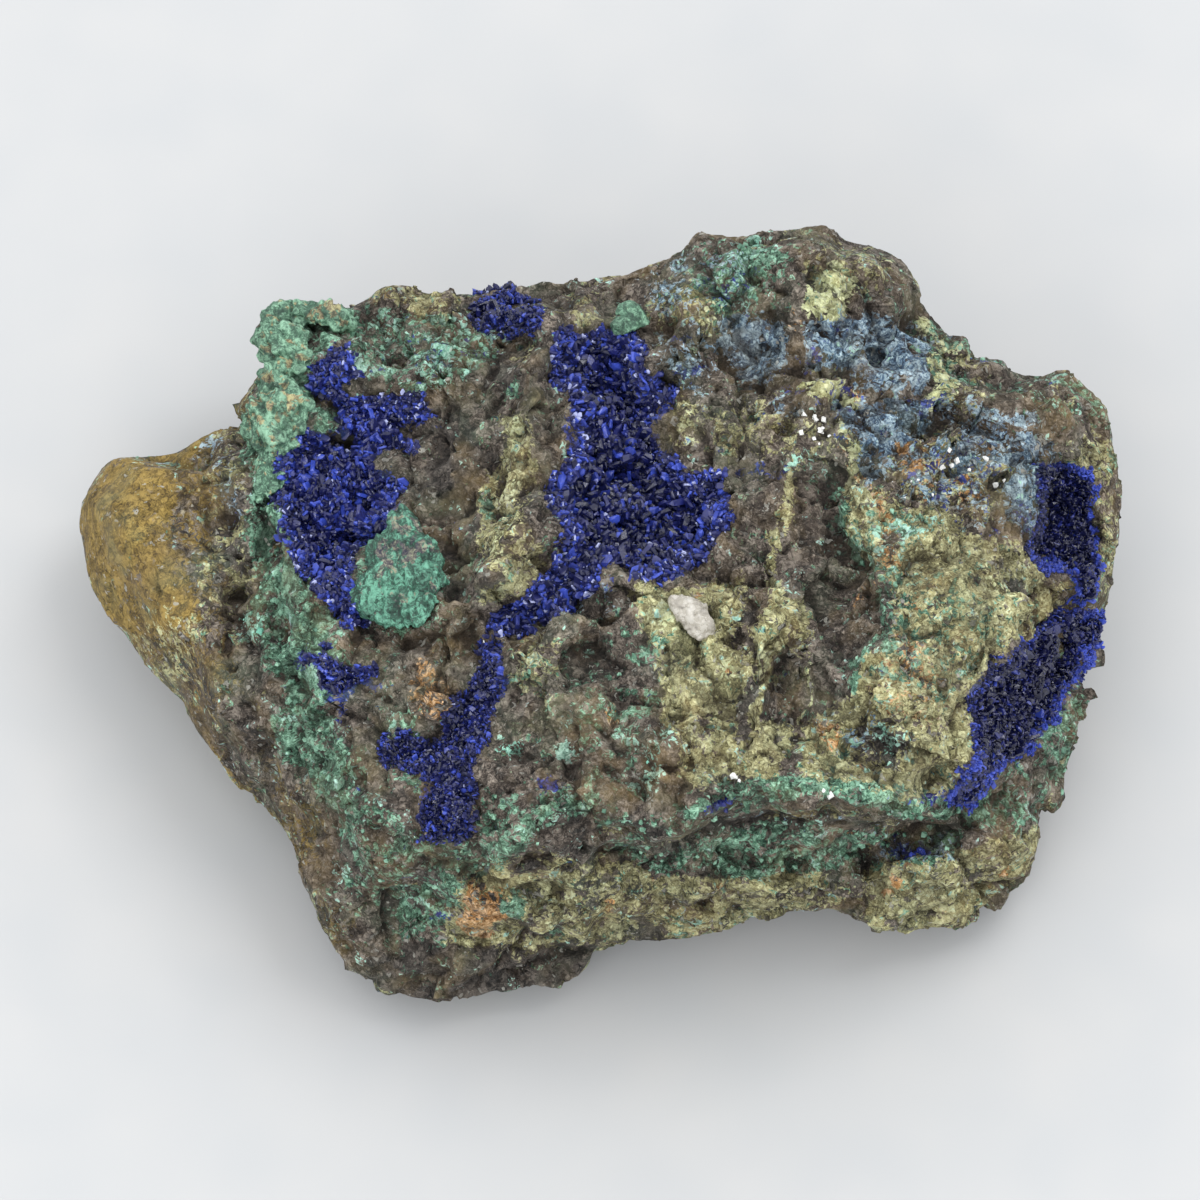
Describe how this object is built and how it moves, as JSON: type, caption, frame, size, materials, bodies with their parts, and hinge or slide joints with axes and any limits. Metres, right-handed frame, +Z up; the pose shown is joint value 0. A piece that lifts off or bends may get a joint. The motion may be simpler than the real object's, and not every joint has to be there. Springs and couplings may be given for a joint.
{
  "type": "azurite specimen",
  "caption": "Hand-sized lump of brown and olive matrix rock with an ochre knob, hollows crusted with deep blue azurite blades, and green malachite growths; rests flat on a table.",
  "frame": {"origin": "centre of the overall box, on the level face the lump rests on", "axes": "+Z up, +X along the longest extent towards the end with the two blue pockets, the ochre knob at -X; -Y is the low front wall with the ledge"},
  "size_m": [0.0796, 0.061, 0.031],
  "materials": {
    "matrix_rock": "rough broken rock, dark brown to olive with an ochre end and green and blue-grey stains",
    "azurite_left_hollow": "small glassy flat-faced blades, deep blue",
    "azurite_centre_hollow": "small glassy flat-faced blades, deep blue",
    "azurite_y_vein": "fine velvety blades, vivid blue",
    "azurite_side_patch": "fine blades mixed with brown grit",
    "azurite_upper_pocket": "fine blades lining a small pocket, bright at the rim",
    "azurite_lens_pocket": "glassy blades lining a pocket, bright at the rim",
    "azurite_top_tuft": "fine velvety blades, vivid blue",
    "malachite_nodule": "granular silky green",
    "malachite_rind": "fluted silky green",
    "malachite_bleb": "smooth pale green",
    "quartz_grain": "milky translucent, glossy breaks"
  },
  "bodies": {
    "root": {"matrix_rock": "matrix_rock", "azurite_left_hollow": "azurite_left_hollow", "azurite_centre_hollow": "azurite_centre_hollow", "azurite_y_vein": "azurite_y_vein", "azurite_side_patch": "azurite_side_patch", "azurite_upper_pocket": "azurite_upper_pocket", "azurite_lens_pocket": "azurite_lens_pocket", "azurite_top_tuft": "azurite_top_tuft", "malachite_nodule": "malachite_nodule", "malachite_rind": "malachite_rind", "malachite_bleb": "malachite_bleb", "quartz_grain": "quartz_grain"}
  },
  "joints": []
}
